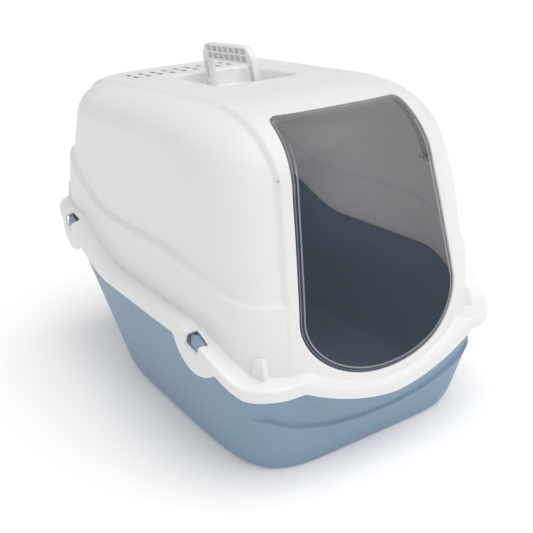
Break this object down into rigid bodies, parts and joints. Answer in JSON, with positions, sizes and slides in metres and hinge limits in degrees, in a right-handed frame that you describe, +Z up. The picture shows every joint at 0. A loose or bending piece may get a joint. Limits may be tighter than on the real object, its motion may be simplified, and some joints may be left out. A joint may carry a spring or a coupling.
{
  "type": "hooded cat litter box",
  "caption": "Deep oval litter tray with a clip-on hood, a see-through swing door, a folding top handle and a filter behind roof vents.",
  "frame": {"origin": "centre of the footprint on the floor, under the middle of the flange", "axes": "+Z up, the doorway faces -Y, +X to the right seen from behind the doorway looking along +Y"},
  "size_m": [0.39, 0.57, 0.4361],
  "materials": {
    "tray_plastic": "satin moulded",
    "hood_plastic": "satin moulded",
    "smoke_plastic": "clear smoke, glossy",
    "filter_plastic": "satin moulded",
    "filter_foam": "open carbon felt"
  },
  "bodies": {
    "tray_body": {"tray": "tray_plastic"},
    "hood_body": {"hood": "hood_plastic"},
    "door_body": {"door_flap": "smoke_plastic"},
    "handle_body": {"carry_handle": "hood_plastic"},
    "filter_body": {"filter_cover": "filter_plastic", "filter_pad": "filter_foam"}
  },
  "joints": [
    {"name": "hood_lift", "type": "slide", "parent": "tray_body", "child": "hood_body", "axis": [0, 0, 1], "range_m": [0, 0.35]},
    {"name": "door_swing", "type": "hinge", "parent": "hood_body", "child": "door_body", "pos_m": [0, -0.232, 0.32], "axis": [1, 0, 0], "range_deg": [-75, 75]},
    {"name": "handle_fold", "type": "hinge", "parent": "hood_body", "child": "handle_body", "pos_m": [0, 0.02, 0.383], "axis": [0, 1, 0], "range_deg": [-83.5, 96.5]},
    {"name": "filter_drop", "type": "slide", "parent": "hood_body", "child": "filter_body", "axis": [0, 0, -1], "range_m": [0, 0.06]}
  ]
}
